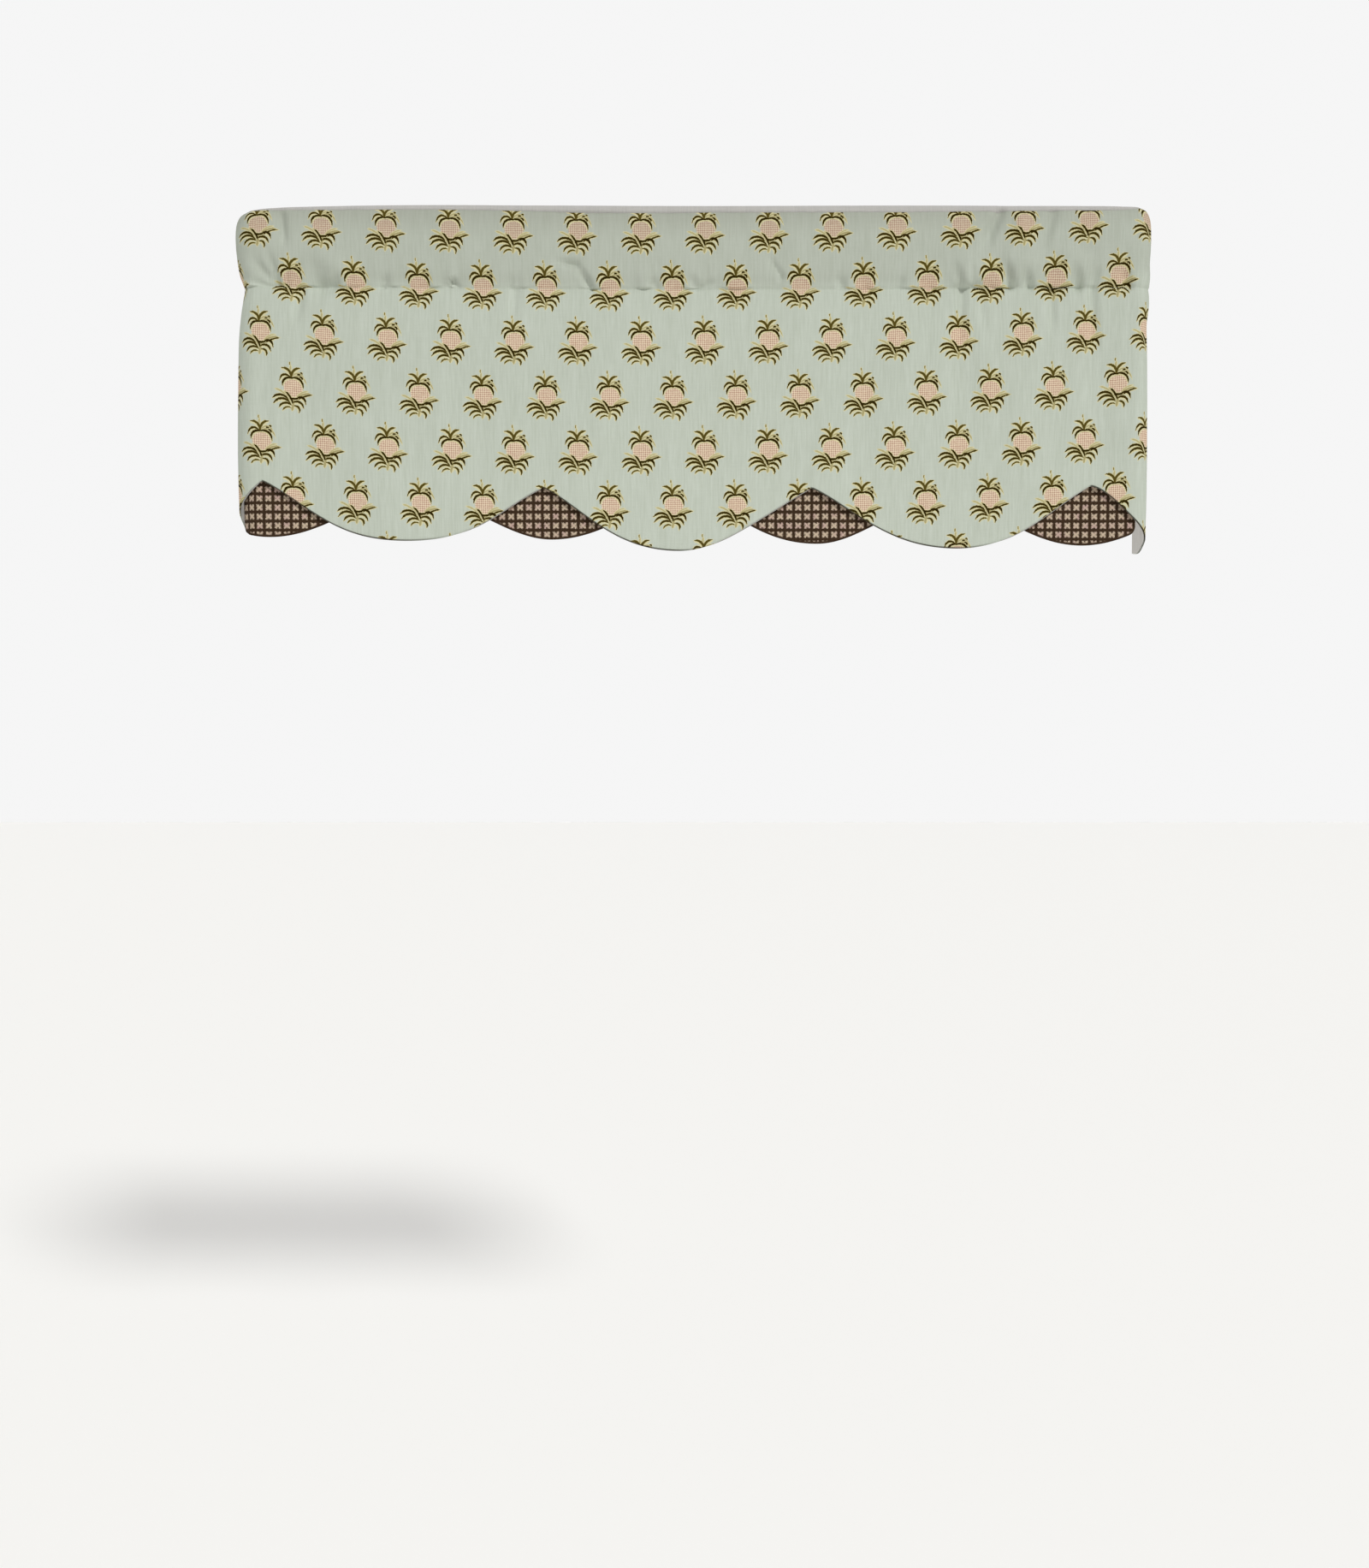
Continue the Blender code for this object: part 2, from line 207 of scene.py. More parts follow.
# The main creases of the front, each a soft trough (or a ridge, where out is above 0) that is deepest
# where it starts and fades towards its end.
CREASE_FADES_FROM = 0.35  # share of its length
CREASES = rows_of(Crease, [
    # the fan at the left corner
    (-0.534, 0.097, -0.568, 0.060, 0.0080, -0.0045),
    (-0.530, 0.096, -0.546, 0.046, 0.0070, -0.0042),
    (-0.541, 0.099, -0.584, 0.084, 0.0070, -0.0036),
    (-0.520, 0.097, -0.521, 0.066, 0.0060, -0.0027),
    (-0.526, 0.012, -0.520, 0.060, 0.0100, -0.0056),
    # the left third of the pocket
    (-0.476, 0.097, -0.484, 0.062, 0.0250, -0.0066),
    (-0.460, 0.098, -0.450, 0.074, 0.0100, -0.0036),
    (-0.398, 0.099, -0.392, 0.082, 0.0080, -0.0031),
    (-0.308, 0.092, -0.298, 0.103, 0.0050, -0.0052),
    (-0.308, 0.092, -0.319, 0.103, 0.0050, -0.0052),
    (-0.236, 0.099, -0.229, 0.084, 0.0070, -0.0025),
    # the middle of the pocket
    (-0.130, 0.101, -0.153, 0.070, 0.0080, -0.0068),
    (-0.150, 0.073, -0.184, 0.068, 0.0070, -0.0050),
    (-0.047, 0.100, -0.057, 0.085, 0.0070, -0.0036),
    (0.004, 0.099, -0.010, 0.082, 0.0090, -0.0042),
    (0.012, 0.100, 0.030, 0.090, 0.0060, -0.0031),
    (0.113, 0.089, 0.093, 0.057, 0.0060, -0.0042),
    (0.190, 0.099, 0.184, 0.082, 0.0080, -0.0031),
    (0.262, 0.100, 0.270, 0.084, 0.0070, -0.0027),
    # the right third of the pocket
    (0.345, 0.100, 0.329, 0.066, 0.0100, -0.0042),
    (0.362, 0.099, 0.351, 0.068, 0.0080, -0.0036),
    (0.390, 0.008, 0.366, 0.064, 0.0120, -0.0066),
    (0.458, 0.010, 0.440, 0.064, 0.0120, -0.0046),
    (0.418, 0.014, 0.410, 0.056, 0.0120, 0.0030),
    (0.405, 0.098, 0.395, 0.064, 0.0110, -0.0084),
    (0.431, 0.099, 0.420, 0.070, 0.0090, -0.0064),
    (0.493, 0.099, 0.482, 0.064, 0.0120, -0.0084),
    (0.512, 0.098, 0.517, 0.072, 0.0090, -0.0039),
    (0.557, 0.100, 0.545, 0.070, 0.0100, -0.0049),
    # below the stitches
    (-0.503, 0.106, -0.510, 0.155, 0.0110, -0.0038),
    (-0.228, 0.106, -0.232, 0.150, 0.0100, -0.0027),
    (0.344, 0.110, 0.341, 0.195, 0.0100, -0.0042),
    (0.368, 0.106, 0.373, 0.160, 0.0090, -0.0027),
    (0.458, 0.106, 0.462, 0.175, 0.0100, -0.0038),
    (0.511, 0.106, 0.515, 0.200, 0.0110, -0.0046),
])

# Where the pocket's front bags over its stitches. A bag with a low lip has a thin dark line under it, and
# one with a high lip a dark patch.
SLACK = 0.0006  # how far the whole front bags, also between the bags
SLACK_HEIGHT = 0.042  # from the stitches to where the slack has died away
BAG_HEIGHT = 0.034  # from a bag's lip to where the bag has died away
BAG_SAG = 0.9  # how far a bag sags, as a share of how far it stands out
BAGS = rows_of(Bag, [
    (-0.565, 0.016, 0.0024, 0.005),
    (-0.490, 0.013, 0.0014, 0.005),
    (-0.472, 0.042, 0.0048, 0.019),
    (-0.448, 0.009, 0.0014, 0.004),
    (-0.431, 0.009, 0.0012, 0.004),
    (-0.382, 0.010, 0.0012, 0.004),
    (-0.332, 0.011, 0.0018, 0.004),
    (-0.310, 0.009, 0.0020, 0.005),
    (-0.216, 0.008, 0.0012, 0.004),
    (-0.127, 0.024, 0.0020, 0.004),
    (-0.062, 0.018, 0.0024, 0.005),
    (-0.002, 0.020, 0.0018, 0.004),
    (0.055, 0.027, 0.0024, 0.005),
    (0.201, 0.007, 0.0018, 0.004),
    (0.229, 0.009, 0.0022, 0.004),
    (0.278, 0.016, 0.0018, 0.004),
    (0.312, 0.010, 0.0020, 0.005),
    (0.348, 0.027, 0.0036, 0.012),
    (0.362, 0.045, 0.0040, 0.017),
    (0.395, 0.018, 0.0030, 0.005),
    (0.418, 0.036, 0.0050, 0.024),
    (0.471, 0.032, 0.0024, 0.005),
    (0.485, 0.030, 0.0050, 0.024),
])

# How far the top seam draws the face in: all along it, and deeper around the middle.
SEAM_DEPTH = 0.0006
DEEPER_GROOVES = rows_of(Groove, [
    (-0.020, 0.330, 0.0011),
    (-0.140, 0.060, 0.0012),
])

# The shallow unevenness of pressed cotton that has hung for a while, as three layers of noise.
RIPPLES = rows_of(Ripple, [
    (0.060, 0.150, 3.1, 0.0010),
    (0.022, 0.070, 7.7, 0.00020),
    (0.009, 0.016, 1.4, 0.00007),
])

# The sprigs stand on the cloth's grain, which bows: this is how much further up the cloth a row of them
# starts at each place along the valance.
GRAIN_BOW = rows_of(LinePoint, [
    (-0.654, 0.0120),
    (-0.550, 0.0095),
    (-0.450, 0.0036),
    (-0.300, -0.0003),
    (-0.120, -0.0010),
    (0.000, 0.0000),
    (0.200, 0.0028),
    (0.400, 0.0077),
    (0.500, 0.0117),
    (0.580, 0.0160),
    (0.654, 0.0190),
])


def smooth_step(x, start, end):
    """0 before start, 1 after end, and a soft ramp between them. end may lie before start."""
    share = min(max((x - start) / (end - start), 0), 1)
    return share * share * (3 - 2 * share)


def soft_bump(x, centre, half_width):
    """1 at the centre, falling softly to 0 at half_width on either side."""
    share = min(abs(x - centre) / half_width, 1)
    return math.cos(share * math.pi / 2) ** 2


def smooth_curve(knots, values):
    """A function that runs smoothly through every (knot, value)."""
    last = len(knots) - 1

    def slope(i):
        low, high = max(i - 1, 0), min(i + 1, last)
        return (values[high] - values[low]) / (knots[high] - knots[low])

    def curve(x):
        x = min(max(x, knots[0]), knots[last])
        i = max(k for k in range(last) if knots[k] <= x)
        span = knots[i + 1] - knots[i]
        t = (x - knots[i]) / span
        at_ends = values[i] * (1 + 2 * t) * (1 - t) ** 2 + values[i + 1] * t * t * (3 - 2 * t)
        return at_ends + span * (slope(i) * t * (1 - t) ** 2 - slope(i + 1) * t * t * (1 - t))

    return functools.lru_cache(None)(curve)


def line_curve(table):
    return smooth_curve([point.s for point in table], [point.drop for point in table])


def lengths_along(table):
    """Distance along a section's outline to each of its points."""
    lengths = [0.0]
    for before, after in zip(table, table[1:]):
        lengths.append(lengths[-1] + math.hypot(after.out - before.out, after.drop - before.drop))
    return lengths


top_line = line_curve(TOP_LINE)
strip_line = line_curve(STRIP_LINE)
stitch_line = line_curve(STITCH_LINE)
grain_bow = line_curve(GRAIN_BOW)

pocket_lengths = lengths_along(POCKET_SECTION)
pocket_out = smooth_curve(pocket_lengths, [point.out for point in POCKET_SECTION])
pocket_drop = smooth_curve(pocket_lengths, [point.drop for point in POCKET_SECTION])
hanging_out = smooth_curve(
    [point.drop for point in HANGING_SECTION], [point.out for point in HANGING_SECTION]
)


def plan_point(s, out):
    """x and y of the place s along the valance, moved outwards by out."""
    side = math.copysign(1, s)
    distance = abs(s)
    if distance <= HALF_STRAIGHT:
        return s, FRONT_Y - out
    angle = min(distance - HALF_STRAIGHT, CORNER_ARC) / CORNER_RADIUS
    radius = CORNER_RADIUS + out
    x = HALF_STRAIGHT + radius * math.sin(angle)
    y = FRONT_Y + CORNER_RADIUS - radius * math.cos(angle) + max(distance - CORNER_END, 0)
    return side * x, y


@functools.lru_cache(None)
def hem_drop(table, s):
    """Depth of a scalloped hem at s: a quarter of a sine wave from each peak to the next lowest point."""
    i = max(k for k in range(len(table) - 1) if k == 0 or table[k].s <= s)
    left, right = table[i], table[i + 1]
    peak, low = (left, right) if left.drop < right.drop else (right, left)
    share = min(max((s - peak.s) / (low.s - peak.s), 0), 1)
    slope = math.sin(share * math.pi / 2) ** left.roundness
    slope += left.belly * math.sin(share * math.pi) ** 2
    return peak.drop + (low.drop - peak.drop) * slope


def folds_at(folds, s, drop):
    """Outward move that the folds make at one place. Each one fades in and out over its height."""
    total = 0.0
    for fold in folds:
        if abs(s - fold.s) < fold.half_width:
            reach = (fold.bottom - fold.top) / 2
            height = smooth_step(drop, fold.top, fold.top + reach)
            height *= smooth_step(drop, fold.bottom, fold.bottom - reach)
            total += fold.out * height * soft_bump(s, fold.s, fold.half_width)
    return total


def spreads_at(s, drop):
    return sum(
        spread.out
        * smooth_step(s, spread.from_s, spread.to_s)
        * soft_bump(drop, spread.drop, spread.half_height)
        for spread in SPREADS
    )


def creases_at(s, drop):
    total = 0.0
    for crease in CREASES:
        run = crease.to_s - crease.from_s, crease.to_drop - crease.from_drop
        off = s - crease.from_s, drop - crease.from_drop
        along = (off[0] * run[0] + off[1] * run[1]) / (run[0] ** 2 + run[1] ** 2)
        along = min(max(along, 0), 1)
        away = math.hypot(off[0] - along * run[0], off[1] - along * run[1])
        if away < crease.half_width:
            fade = 1 - smooth_step(along, CREASE_FADES_FROM, 1)
            total += crease.out * fade * soft_bump(away, 0, crease.half_width)
    return total


def bags_at(s, rise):
    """Outward move of the pocket's front at a height above the stitches, where it bags and sags over
    them."""
    total = SLACK * smooth_step(rise, 0, 0.005) * smooth_step(rise, SLACK_HEIGHT, 0.008)
    for bag in BAGS:
        if abs(s - bag.s) < bag.half_width:
            height = smooth_step(rise, 0, bag.lip) * smooth_step(rise, bag.lip + BAG_HEIGHT, bag.lip)
            total += bag.out * height * soft_bump(s, bag.s, bag.half_width)
    return total


def sewn_puckers():
    """The small creases that the stitches draw, 7 to 14 mm apart."""
    dice = random.Random(14)
    puckers = []
    s = -HALF_FLAT
    while s < HALF_FLAT:
        width = dice.uniform(0.0045, 0.0085)
        depth = dice.uniform(0.00010, 0.00055)
        above, below = dice.uniform(0.014, 0.034), dice.uniform(0.010, 0.022)
        puckers.append(Pucker(s, width, -depth, above, below, dice.uniform(-0.35, 0.35)))
        s += dice.uniform(0.007, 0.014)
    return puckers


PUCKERS = sewn_puckers()


def puckers_at(s, rise):
    """Outward move of the stitches' puckers at a height above the stitches, or under them if below 0."""
    total = 0.0
    for pucker in PUCKERS:
        away = abs(s - pucker.s - pucker.lean * rise)
        reach = pucker.above if rise > 0 else pucker.below
        if away < pucker.half_width and abs(rise) < reach:
            height = smooth_step(abs(rise), 0, 0.005) * smooth_step(abs(rise), reach, 0.005)
            total += pucker.out * height * soft_bump(away, 0, pucker.half_width)
    return total


def ripples_at(s, drop):
    return sum(
        ripple.out * noise.noise(Vector((s / ripple.width, drop / ripple.height, ripple.layer)))
        for ripple in RIPPLES
    )


BACK_RIPPLES_FROM = 3  # metres further along the noise, where the back wall's own ripples start


def pocket_point(s, length, sunk=0.0):
    """A place in the pocket's walls, by its length along the section from the front stitches, moved
    into the pocket by sunk."""
    step = 0.0004
    run_out = pocket_out(length + step) - pocket_out(length - step)
    run_drop = pocket_drop(length + step) - pocket_drop(length - step)
    run = math.hypot(run_out, run_drop)
    top = top_line(s)
    section_drop = pocket_drop(length) - sunk * run_out / run
    drop = top + section_drop / POCKET_DEPTH * (stitch_line(s) - top)
    out = pocket_out(length) + sunk * run_drop / run + spreads_at(s, drop)
    rise = stitch_line(s) - drop
    # The cloth is free to ripple between the stitches and the top.
    loose = smooth_step(rise, 0, 0.012) * smooth_step(drop, -0.004, 0.010)
    soft = folds_at(POCKET_FOLDS, s, drop) + puckers_at(s, rise)
    sag = 0.0
    if length > pocket_lengths[TOP_POINT]:
        # The back wall swells away from the front, but moves with it by the stitches.
        sewn = smooth_step(rise, 0.016, 0.004)
        own_ripples = ripples_at(s + BACK_RIPPLES_FROM, drop)
        out += loose * own_ripples - soft * (1 - 2 * sewn) + creases_at(s, drop) * sewn
    else:
        bag = bags_at(s, rise)
        out += loose * ripples_at(s, drop) + soft + creases_at(s, drop) + bag
        sag = BAG_SAG * bag * smooth_step(rise, 0.030, 0.005)
    x, y = plan_point(s, out)
    return x, y, -drop - sag


def hanging_point(s, drop, behind):
    """A place in a cloth below the stitches, a given distance behind the face."""
    under = drop - stitch_line(s)
    out = hanging_out(under) - behind
    out += folds_at(HANGING_FOLDS, s, drop) + spreads_at(s, drop) + creases_at(s, drop)
    out += puckers_at(s, -under) + smooth_step(under, 0, 0.012) * ripples_at(s, drop)
    x, y = plan_point(s, out)
    return x, y, -drop


@functools.lru_cache(None)
def seam_length(s):
    """Length along the pocket's section up to the top seam between the face and the lining."""
    top = pocket_lengths[TOP_POINT]
    lowest = top - 0.022
    steps = 60
    for step in range(steps + 1):
        length = top - (top - lowest) * step / steps
        if pocket_drop(length) >= strip_line(s):
            return length
    return lowest


def seam_groove(s, length):
    """How far the top seam draws the face in, so that a dark line shows under the strip of lining."""
    depth = sum((deeper.depth * soft_bump(s, deeper.s, deeper.half_width) for deeper in DEEPER_GROOVES),
                start=SEAM_DEPTH)
    return depth * smooth_step(length, seam_length(s) - 0.006, seam_length(s) - 0.001)


def in_steps(start, end, count):
    """Places from start to end, in a number of even steps."""
    return [start + (end - start) * i / count for i in range(count + 1)]


def spaced(start, end, step):
    """Places from start to end, near enough step apart."""
    return in_steps(start, end, math.ceil((end - start) / step))


# Columns of the cloth, and rows as shares of the way from the top seam to the stitches and on to the hem.
# Rows lie closest by the top seam and the stitches, where the creases are smallest.
PLACES = spaced(-HALF_FLAT, HALF_FLAT, GRID)
FRONT_WALL_SHARES = in_steps(0, 0.06, 5) + in_steps(0.09, 0.92, 24) + in_steps(0.93, 1, 10)
HANGING_SHARES = in_steps(0, 0.018, 5) + in_steps(0.027, 1, 52)


def face_point(s, row):
    """Where the face hangs, and its place in the flat cloth. Row 0 is the top seam."""
    if row < len(FRONT_WALL_SHARES):
        length = seam_length(s) * (1 - FRONT_WALL_SHARES[row])
        return pocket_point(s, length, seam_groove(s, length)), (s, length - grain_bow(s))
    share = HANGING_SHARES[row - len(FRONT_WALL_SHARES) + 1]
    under = share * (hem_drop(FACE_HEM, s) - stitch_line(s))
    return hanging_point(s, stitch_line(s) + under, 0), (s, -under - grain_bow(s))


def as_piece(name, shape):
    """Turns a finished bmesh into an object of the scene."""
    mesh = bpy.data.meshes.new(name)
    shape.to_mesh(mesh)
    shape.free()
    mesh.shade_smooth()
    piece = bpy.data.objects.new(name, mesh)
    bpy.context.scene.collection.objects.link(piece)
    return piece


def hang_cloth(name, places, rows, point_at, thickness):
    """A flat grid of cloth, moved to where it hangs and given its thickness. One UV map is its flat
    layout in metres, the other has how steeply its hem climbs to the right and the height above it."""
    columns = len(places) - 1
    cloth = bmesh.new()
    bmesh.ops.create_grid(cloth, x_segments=columns, y_segments=rows, size=0.5)
    hems = [point_at(s, rows)[1][1] for s in places]
    flat_places = {}
    hem_places = {}
    for vertex in cloth.verts:
        column = round((vertex.co.x + 0.5) * columns)
        row = round((0.5 - vertex.co.y) * rows)
        vertex.co, flat_places[vertex] = point_at(places[column], row)
        before, after = max(column - 1, 0), min(column + 1, columns)
        climb = (hems[after] - hems[before]) / (places[after] - places[before])
        hem_places[vertex] = climb, flat_places[vertex][1] - hems[column]
    for map_name, map_places in (("flat", flat_places), ("above hem", hem_places)):
        cloth_map = cloth.loops.layers.uv.new(map_name)
        for face in cloth.faces:
            for loop in face.loops:
                loop[cloth_map].uv = map_places[loop.vert]
    piece = as_piece(name, cloth)
    body = piece.modifiers.new("thickness of the cloth", "SOLIDIFY")
    body.thickness = thickness
    body.offset = 0
    edge = piece.modifiers.new("soft edge", "BEVEL")
    edge.width = thickness * 0.3
    edge.segments = 2
    edge.limit_method = "ANGLE"
    edge.angle_limit = math.radians(60)
    return piece


def linear(colour):
    """An sRGB hex colour as the linear numbers that a shader takes."""
    shares = [int(colour[i : i + 2], 16) / 255 for i in (1, 3, 5)]
    return [c / 12.92 if c <= 0.04045 else ((c + 0.055) / 1.055) ** 2.4 for c in shares] + [1]


def new_material(name, roughness, specular=0.5):
    """A new material with its gloss set, its node tree and its shader."""
    material = bpy.data.materials.new(name)
    material.use_nodes = True
    shader = material.node_tree.nodes["Principled BSDF"]
    shader.inputs["Roughness"].default_value = roughness
    shader.inputs["Specular IOR Level"].default_value = specular
    return material, material.node_tree, shader


def add_node(tree, kind, inputs, **settings):
    """Adds one node. Its inputs, in order or by name or place, are numbers, hex colours, sockets, or nodes
    whose first live output is meant."""
    node = tree.nodes.new(kind)
    for name, value in settings.items():
        setattr(node, name, value)
    for place, value in inputs.items() if isinstance(inputs, dict) else enumerate(inputs):
        if isinstance(value, str):
            value = linear(value)
        if isinstance(value, bpy.types.Node):
            value = next(socket for socket in value.outputs if socket.enabled)
        if isinstance(value, bpy.types.NodeSocket):
            tree.links.new(value, node.inputs[place])
        else:
            node.inputs[place].default_value = value
    return node


def parts_of(tree, vector):
    """x, y and z of a vector."""
    return add_node(tree, "ShaderNodeSeparateXYZ", [vector]).outputs


def uv_place(tree, uv_map):
    return add_node(tree, "ShaderNodeUVMap", {}, uv_map=uv_map)


def flat_noise(tree, place, scale, detail):
    return add_node(tree, "ShaderNodeTexNoise", {"Vector": place, "Scale": scale, "Detail": detail},
                    noise_dimensions="2D")


def maths(tree, operation, *inputs):
    return add_node(tree, "ShaderNodeMath", inputs, operation=operation)


def vector_maths(tree, operation, *inputs):
    return add_node(tree, "ShaderNodeVectorMath", inputs, operation=operation)


def ramp(tree, value, *ends, **settings):
    """Goes from 0 to 1 while the value goes from the first end to the second, or else from the third end
    to the fourth."""
    return add_node(tree, "ShaderNodeMapRange", [value, *ends], **settings)


def mixed(tree, share, under, over):
    """The colour under, hidden by the colour over to the share given."""
    return add_node(tree, "ShaderNodeMix", {0: share, 6: under, 7: over}, data_type="RGBA")


# Inputs of a range of vectors, by place, because they share their names with those of other ranges.
VALUES, RANGE_FROM, RANGE_TO, HIGHEST = 6, 7, 8, 10


def flat_millimetres(tree, move=(0, 0, 0)):
    """The cloth's flat layout in millimetres, moved by so many of them."""
    flat = uv_place(tree, "flat")
    return add_node(tree, "ShaderNodeMapping", {"Vector": flat, "Location": move, "Scale": (1000, 1000, 1)})


# A plain weave, by how many of its features lie in a millimetre across and along the cloth. Slubs are warp
# threads 0.5 mm thick and up to 40 mm long, drawn 2 mm thick so that they show. Picks are weft threads
# 0.4 mm thick, drawn 1.7 mm thick. In some bands the warp is packed closer than in others.
SLUBS = (0.45, 0.030, 1)
PICKS = (0.040, 0.60, 1)
WARP_BANDS = (0.085, 0.006, 1)
PICK_STRENGTH = 0.25  # beside the slubs' 1
BAND_STRENGTH = 0.5
WEAVE_TONES = (0.42, 1.33)  # what the three add up to where the cloth is darkest and where it is palest


def cotton_ground(tree, millimetres, colour, shade):
    """Plain woven cotton: its colour and the height of its threads."""
    heights = []
    for features in (SLUBS, PICKS, WARP_BANDS):
        stretched = add_node(tree, "ShaderNodeMapping", {"Vector": millimetres, "Scale": features})
        heights.append(flat_noise(tree, stretched, 1, 2))
    slubs, picks, bands = heights
    threads = maths(tree, "MULTIPLY_ADD", picks, PICK_STRENGTH, slubs)
    tones = maths(tree, "MULTIPLY_ADD", bands, BAND_STRENGTH, threads)
    tone = ramp(tree, tones, *WEAVE_TONES)
    ground = mixed(tree, tone, shade, colour)
    return ground, threads


def finish_weave(tree, shader, colour, threads, strength, height):
    """Gives a cloth its colour, and lets its threads stand out by a height in metres."""
    tree.links.new(colour.outputs[2], shader.inputs["Base Color"])
    relief = add_node(tree, "ShaderNodeBump", {"Strength": strength, "Distance": height, "Height": threads})
    tree.links.new(relief.outputs[0], shader.inputs["Normal"])


def wandering(tree, millimetres, scale, detail, reach):
    """The cloth's layout with each place moved a little, so that what is drawn on it has no ruled edges,
    and the noise that moves it."""
    noisy = flat_noise(tree, millimetres, scale, detail)
    move = vector_maths(tree, "SUBTRACT", noisy.outputs["Color"], (0.5, 0.5, 0.5))
    moved = vector_maths(tree, "MULTIPLY_ADD", move, (reach, reach, 0), millimetres)
    return moved, noisy


# The print, in millimetres: sprigs in a half-drop repeat. Each leaf is a curved stroke from one point
# to another, measured from the middle of the fruit; rise is how far its middle bows up, and dark how
# strong its dark ink is. Cream ink lies under the dark ink and reaches a millimetre past it.
SPRIG_PITCH = 81.4  # from one sprig to the next in a row
SPRIG_ROWS = 69.4  # from one row to the next
FIRST_SPRIG = (16.0, 70.7)  # a sprig in the top row, from the cloth's middle and the row of stitches

Leaf = namedtuple("Leaf", "from_x from_y to_x to_y rise half_width dark")
SPRIG = rows_of(Leaf, [
    # the crown's upright leaves
    (-3, 14, -3, 30, 0.4, 1.0, 0.25),
    (-3, 13, -15, 26, 4.2, 2.2, 0.82),
    (-2, 13, 9, 27, 3.4, 2.2, 0.82),
    # the crown's drooping leaves
    (-2, 15, 14, 15, 4.6, 1.2, 0.25),
    (-2, 14, 17, 7, 5.6, 1.0, 0.30),
    (-2, 13, -18, 9, 6.2, 1.9, 0.94),
    (0, 13, -14, 3, 4.8, 1.9, 1.00),
    (-5, 13, 13, 1, 6.2, 1.9, 1.00),
    # flecks beside the crown
    (5, 18, 9, 18, 0.4, 1.1, 1.00),
    (9, 21, 12, 19, 0.5, 1.0, 1.00),
    (8, 16, 12, 12, 0.8, 1.3, 1.00),
    (-4, 30, -4, 34, 0.2, 0.6, 0.60),
    # the foot's leaves to the left
    (-6, -14, -27, -13, 4.6, 2.0, 0.97),
    (-3, -19, -26, -20, 6.0, 2.1, 0.94),
    (-2, -21, -19, -25, 4.2, 1.8, 0.94),
    (-3, -24, -14, -28, 2.4, 1.1, 0.80),
    (-4, -17, -12, -3, 0.8, 1.6, 0.15),
    (-1, -19, -10, -4, 1.2, 1.5, 1.00),
    # the foot's leaves to the right
    (2, -13, 16, -19, 5.4, 2.3, 1.00),
    (-2, -18, 13, -24, 4.6, 2.1, 0.94),
    (0, -21, 7, -30, 3.2, 1.8, 0.90),
    (3, -12, 22, -5, 1.8, 1.2, 0.32),
    (4, -10, 18, -2, 1.6, 0.7, 0.22),
    (6, -13, 24, -6, 1.0, 1.0, 0.95),
    # the stalk and the tie at the fruit's foot
    (1, -11, -2, -28, -0.4, 1.8, 0.30),
    (-5, -12, 6, -12, -0.8, 1.6, 1.00),
    (-10, -8, -23, -1, 1.0, 0.9, 0.25),
])

# Where each ink sets in, and where it is full.
CREAM_EDGE = (1.4, 0.4)  # outside a leaf's stroke
DARK_EDGE = (0.5, -0.4)  # outside a leaf's stroke
DARK_UNDERSIDE = (-1.4, -0.3)  # above a leaf's middle line, so that more cream shows along its underside
CREAM_COVER = 0.85
INK_RUN = 1.1  # ink runs along the threads by up to half of this, so the drawing's edges wander


def sprig_place(tree, millimetres):
    """x and y of each place on the cloth, from the middle of the nearest sprig's fruit."""
    drawn, _ = wandering(tree, millimetres, 0.55, 1, INK_RUN)
    across, upwards = parts_of(tree, drawn)[:2]
    row = maths(tree, "DIVIDE", upwards, SPRIG_ROWS)
    row = maths(tree, "ROUND", row)
    y = maths(tree, "MULTIPLY_ADD", row, -SPRIG_ROWS, upwards)
    x = maths(tree, "MULTIPLY_ADD", row, -SPRIG_PITCH / 2, across)
    x = maths(tree, "WRAP", x, SPRIG_PITCH / 2, -SPRIG_PITCH / 2)
    return x, y


def from_starts(tree, xs, ys, leaves, ways):
    """How far a place lies from where each of three leaves starts, measured along each one's own way."""
    starts = [-leaf.from_x * way[0] - leaf.from_y * way[1] for leaf, way in zip(leaves, ways)]
    partly = vector_maths(tree, "MULTIPLY_ADD", ys, [way[1] for way in ways], starts)
    return vector_maths(tree, "MULTIPLY_ADD", xs, [way[0] for way in ways], partly)


